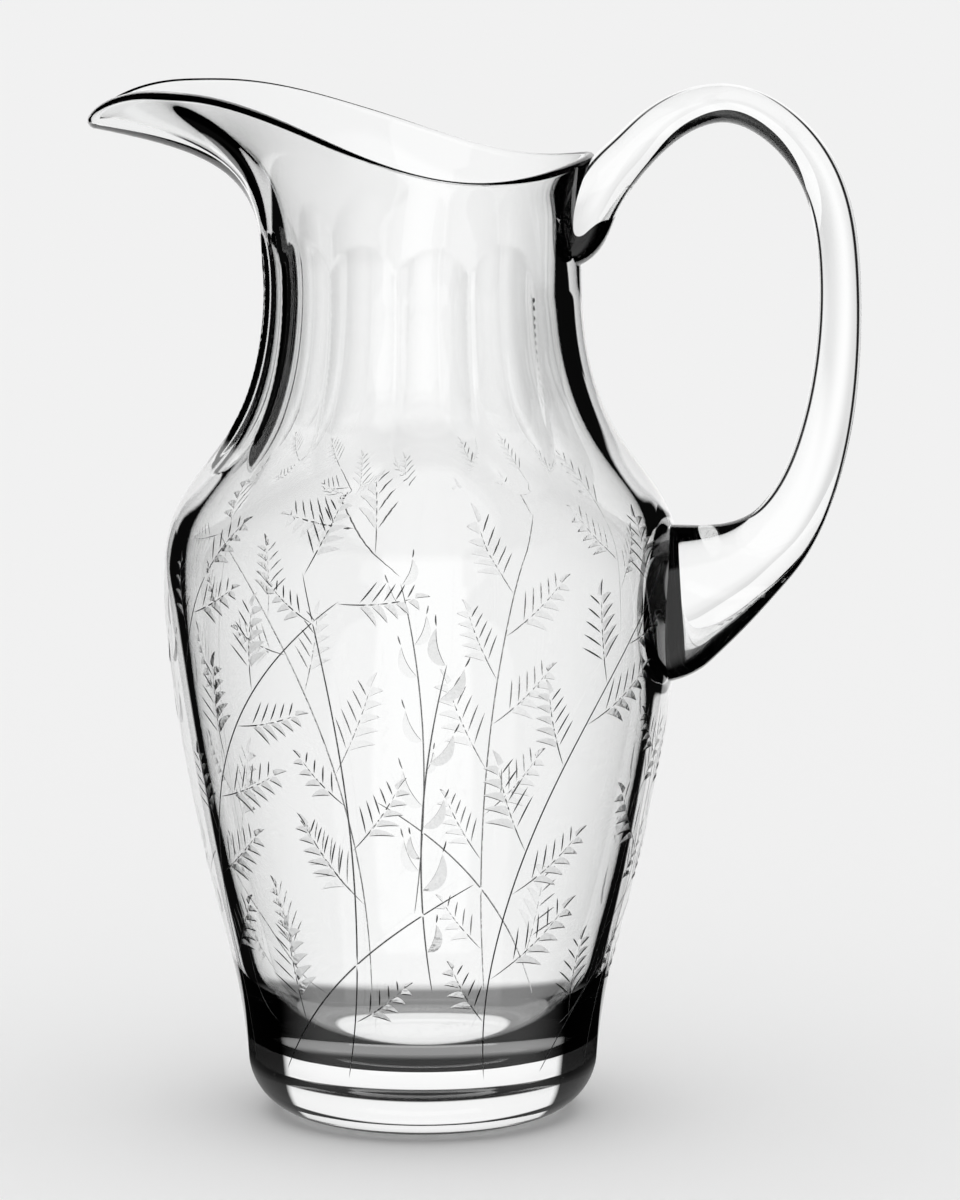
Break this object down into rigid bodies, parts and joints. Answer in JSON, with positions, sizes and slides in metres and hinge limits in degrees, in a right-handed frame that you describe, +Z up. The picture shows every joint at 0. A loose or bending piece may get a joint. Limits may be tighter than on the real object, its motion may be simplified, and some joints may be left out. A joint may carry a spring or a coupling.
{
  "type": "pitcher",
  "caption": "Clear cut-glass pitcher with a bellied engraved body, panel-cut neck, pulled pouring spout and an applied solid glass loop handle.",
  "frame": {"origin": "middle of the foot's flat underside, on the body's axis", "axes": "+Z up along the body's axis, the spout along -X and the handle along +X"},
  "size_m": [0.1871, 0.1244, 0.2509],
  "materials": {
    "crystal": "polished, engraved matte on the belly"
  },
  "bodies": {
    "root": {"glass_body": "crystal", "handle": "crystal"}
  },
  "joints": []
}
